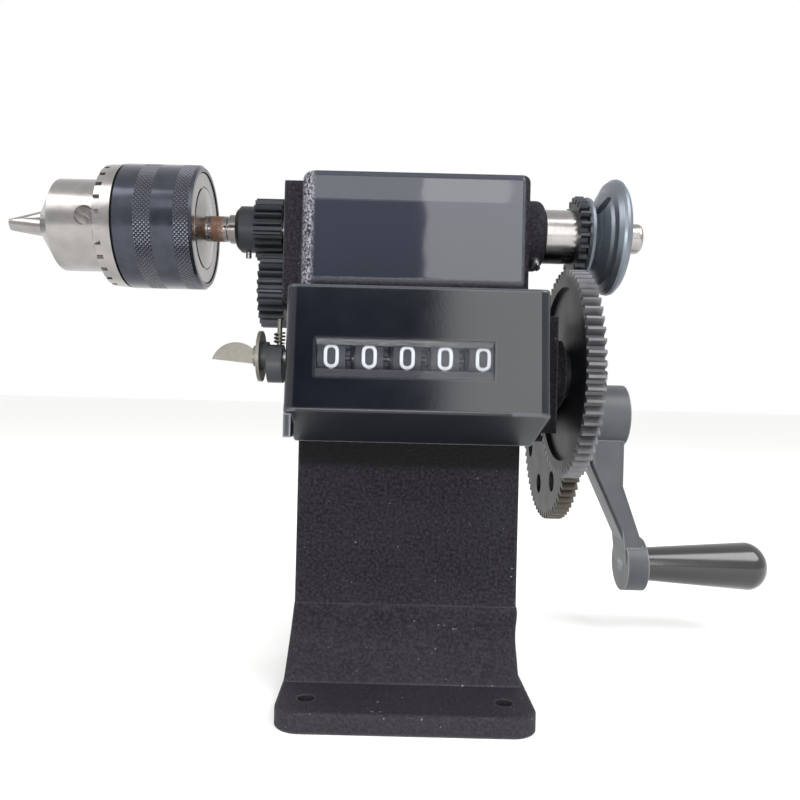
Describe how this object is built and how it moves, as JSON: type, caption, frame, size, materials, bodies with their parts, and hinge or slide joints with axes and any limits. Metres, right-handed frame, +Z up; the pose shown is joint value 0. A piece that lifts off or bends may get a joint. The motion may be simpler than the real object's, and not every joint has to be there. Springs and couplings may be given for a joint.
{
  "type": "wire coil winding machine",
  "caption": "Bench hand winder: keyed drill chuck on a cast stand, geared up from a crank, with a resettable turns counter.",
  "frame": {"origin": "centre of the four base bolt holes, on the underside of the base", "axes": "+Z up, +X along the spindle from the chuck to the crank, -Y towards the counter's face"},
  "size_m": [0.3024, 0.15, 0.1797],
  "materials": {
    "casting_paint": "rough cast iron under thin black paint",
    "bare_steel": "turned steel",
    "black_oxide": "black oxide on steel",
    "gear_steel": "oiled dark steel",
    "bronze": "sintered bronze",
    "pulley_grey": "dark blue-grey",
    "crank_grey": "satin grey paint on a casting",
    "bakelite": "polished black phenolic",
    "counter_black": "semi-gloss black plastic",
    "wheel_black": "moulded black plastic",
    "white_acetal": "moulded natural plastic",
    "clear_pane": "clear plastic pane",
    "nickel": "dull nickel plate"
  },
  "bodies": {
    "frame": {"frame_casting": "casting_paint", "bush_screw": "bare_steel", "spindle_bush_left": "bronze", "spindle_bush_right": "bronze", "intermediate_shaft": "bare_steel", "retaining_clip": "black_oxide", "counter_gear_pins": "bare_steel", "counter_case": "counter_black", "counter_window": "clear_pane", "carry_shaft": "bare_steel"},
    "spindle": {"spindle_shaft": "bare_steel", "chuck_body": "bare_steel", "chuck_back_plate": "bare_steel", "counter_pinion": "gear_steel", "roll_pin": "bare_steel", "spindle_collar": "bare_steel", "spindle_pinion": "gear_steel", "belt_pulley": "pulley_grey", "pulley_set_screw": "black_oxide"},
    "chuck_sleeve": {"chuck_sleeve": "black_oxide", "chuck_gear_ring": "bare_steel", "chuck_nut": "black_oxide"},
    "chuck_jaw_1": {"chuck_jaw_1": "bare_steel"},
    "chuck_jaw_2": {"chuck_jaw_2": "bare_steel"},
    "chuck_jaw_3": {"chuck_jaw_3": "bare_steel"},
    "intermediate": {"intermediate_gear": "gear_steel", "intermediate_pinion": "gear_steel"},
    "crank": {"crank_shaft": "bare_steel", "crank_gear": "gear_steel", "crank_arm": "crank_grey", "crank_set_screw": "black_oxide", "handle_pin": "bare_steel"},
    "handle": {"crank_handle": "bakelite"},
    "counter_input": {"counter_gear": "gear_steel", "counter_input_shaft": "bare_steel"},
    "reduction": {"reduction_gear": "white_acetal"},
    "idler": {"counter_idler": "white_acetal"},
    "reset_key": {"wheel_shaft": "bare_steel", "reset_wing": "nickel", "reset_washer": "nickel", "reset_hub": "black_oxide", "reset_pin": "nickel", "reset_spring": "nickel"},
    "wheel_1": {"number_wheel_1": "wheel_black"},
    "wheel_2": {"number_wheel_2": "wheel_black"},
    "wheel_3": {"number_wheel_3": "wheel_black"},
    "wheel_4": {"number_wheel_4": "wheel_black"},
    "wheel_5": {"number_wheel_5": "wheel_black"},
    "carry_1": {"carry_pinion_1": "white_acetal"},
    "carry_2": {"carry_pinion_2": "white_acetal"},
    "carry_3": {"carry_pinion_3": "white_acetal"},
    "carry_4": {"carry_pinion_4": "white_acetal"}
  },
  "joints": [
    {"name": "crank_turn", "type": "hinge", "parent": "frame", "child": "crank", "pos_m": [0, 0.04316, 0.0936], "axis": [1, 0, 0], "continuous": true},
    {"name": "handle_spin", "type": "hinge", "parent": "crank", "child": "handle", "pos_m": [0.12, 0.04316, 0.0296], "axis": [1, 0, 0], "continuous": true},
    {"name": "intermediate_spin", "type": "hinge", "parent": "frame", "child": "intermediate", "pos_m": [0, -0.011, 0.1088], "axis": [1, 0, 0], "continuous": true},
    {"name": "spindle_spin", "type": "hinge", "parent": "frame", "child": "spindle", "pos_m": [0, -0.011, 0.158], "axis": [1, 0, 0], "continuous": true},
    {"name": "counter_gear_spin", "type": "hinge", "parent": "frame", "child": "counter_input", "pos_m": [0, -0.011, 0.136], "axis": [1, 0, 0], "continuous": true},
    {"name": "reduction_spin", "type": "hinge", "parent": "frame", "child": "reduction", "pos_m": [0, -0.01964, 0.12411], "axis": [1, 0, 0], "continuous": true},
    {"name": "idler_spin", "type": "hinge", "parent": "frame", "child": "idler", "pos_m": [0, -0.02879, 0.11634], "axis": [1, 0, 0], "continuous": true},
    {"name": "wheel_5_turn", "type": "hinge", "parent": "frame", "child": "wheel_5", "pos_m": [0, -0.0469, 0.1106], "axis": [1, 0, 0], "continuous": true},
    {"name": "wheel_4_turn", "type": "hinge", "parent": "frame", "child": "wheel_4", "pos_m": [0, -0.0469, 0.1106], "axis": [1, 0, 0], "continuous": true},
    {"name": "wheel_3_turn", "type": "hinge", "parent": "frame", "child": "wheel_3", "pos_m": [0, -0.0469, 0.1106], "axis": [1, 0, 0], "continuous": true},
    {"name": "wheel_2_turn", "type": "hinge", "parent": "frame", "child": "wheel_2", "pos_m": [0, -0.0469, 0.1106], "axis": [1, 0, 0], "continuous": true},
    {"name": "wheel_1_turn", "type": "hinge", "parent": "frame", "child": "wheel_1", "pos_m": [0, -0.0469, 0.1106], "axis": [1, 0, 0], "continuous": true},
    {"name": "carry_4_spin", "type": "hinge", "parent": "frame", "child": "carry_4", "pos_m": [0, -0.0399, 0.12272], "axis": [1, 0, 0], "continuous": true},
    {"name": "carry_3_spin", "type": "hinge", "parent": "frame", "child": "carry_3", "pos_m": [0, -0.0399, 0.12272], "axis": [1, 0, 0], "continuous": true},
    {"name": "carry_2_spin", "type": "hinge", "parent": "frame", "child": "carry_2", "pos_m": [0, -0.0399, 0.12272], "axis": [1, 0, 0], "continuous": true},
    {"name": "carry_1_spin", "type": "hinge", "parent": "frame", "child": "carry_1", "pos_m": [0, -0.0399, 0.12272], "axis": [1, 0, 0], "continuous": true},
    {"name": "reset_turn", "type": "hinge", "parent": "frame", "child": "reset_key", "pos_m": [-0.05, -0.0469, 0.1106], "axis": [1, 0, 0], "range_deg": [-360, 0]},
    {"name": "chuck_sleeve_turn", "type": "hinge", "parent": "spindle", "child": "chuck_sleeve", "pos_m": [-0.09, -0.011, 0.158], "axis": [1, 0, 0], "range_deg": [0, 2880]},
    {"name": "jaw_1_slide", "type": "slide", "parent": "spindle", "child": "chuck_jaw_1", "axis": [0.9659, 0, 0.2588], "range_m": [0, 0.018]},
    {"name": "jaw_2_slide", "type": "slide", "parent": "spindle", "child": "chuck_jaw_2", "axis": [0.9659, 0.2241, -0.1294], "range_m": [0, 0.018]},
    {"name": "jaw_3_slide", "type": "slide", "parent": "spindle", "child": "chuck_jaw_3", "axis": [0.9659, -0.2241, -0.1294], "range_m": [0, 0.018]}
  ],
  "couplings": [
    {"joint": "intermediate_spin", "follows": "crank_turn", "ratio": -3.5},
    {"joint": "spindle_spin", "follows": "crank_turn", "ratio": 9.5455},
    {"joint": "counter_gear_spin", "follows": "crank_turn", "ratio": -7.9545},
    {"joint": "reduction_spin", "follows": "crank_turn", "ratio": 3.1818},
    {"joint": "idler_spin", "follows": "crank_turn", "ratio": -1.0606},
    {"joint": "wheel_5_turn", "follows": "crank_turn", "ratio": 0.95455},
    {"joint": "wheel_4_turn", "follows": "crank_turn", "ratio": 0.095455},
    {"joint": "wheel_3_turn", "follows": "crank_turn", "ratio": 0.0095455},
    {"joint": "wheel_2_turn", "follows": "crank_turn", "ratio": 0.00095455},
    {"joint": "wheel_1_turn", "follows": "crank_turn", "ratio": 0.000095455},
    {"joint": "carry_4_spin", "follows": "crank_turn", "ratio": -0.23864},
    {"joint": "carry_3_spin", "follows": "crank_turn", "ratio": -0.023864},
    {"joint": "carry_2_spin", "follows": "crank_turn", "ratio": -0.0023864},
    {"joint": "carry_1_spin", "follows": "crank_turn", "ratio": -0.00023864},
    {"joint": "jaw_1_slide", "follows": "chuck_sleeve_turn", "m_per_rad": 0.0003581},
    {"joint": "jaw_2_slide", "follows": "chuck_sleeve_turn", "m_per_rad": 0.0003581},
    {"joint": "jaw_3_slide", "follows": "chuck_sleeve_turn", "m_per_rad": 0.0003581}
  ]
}
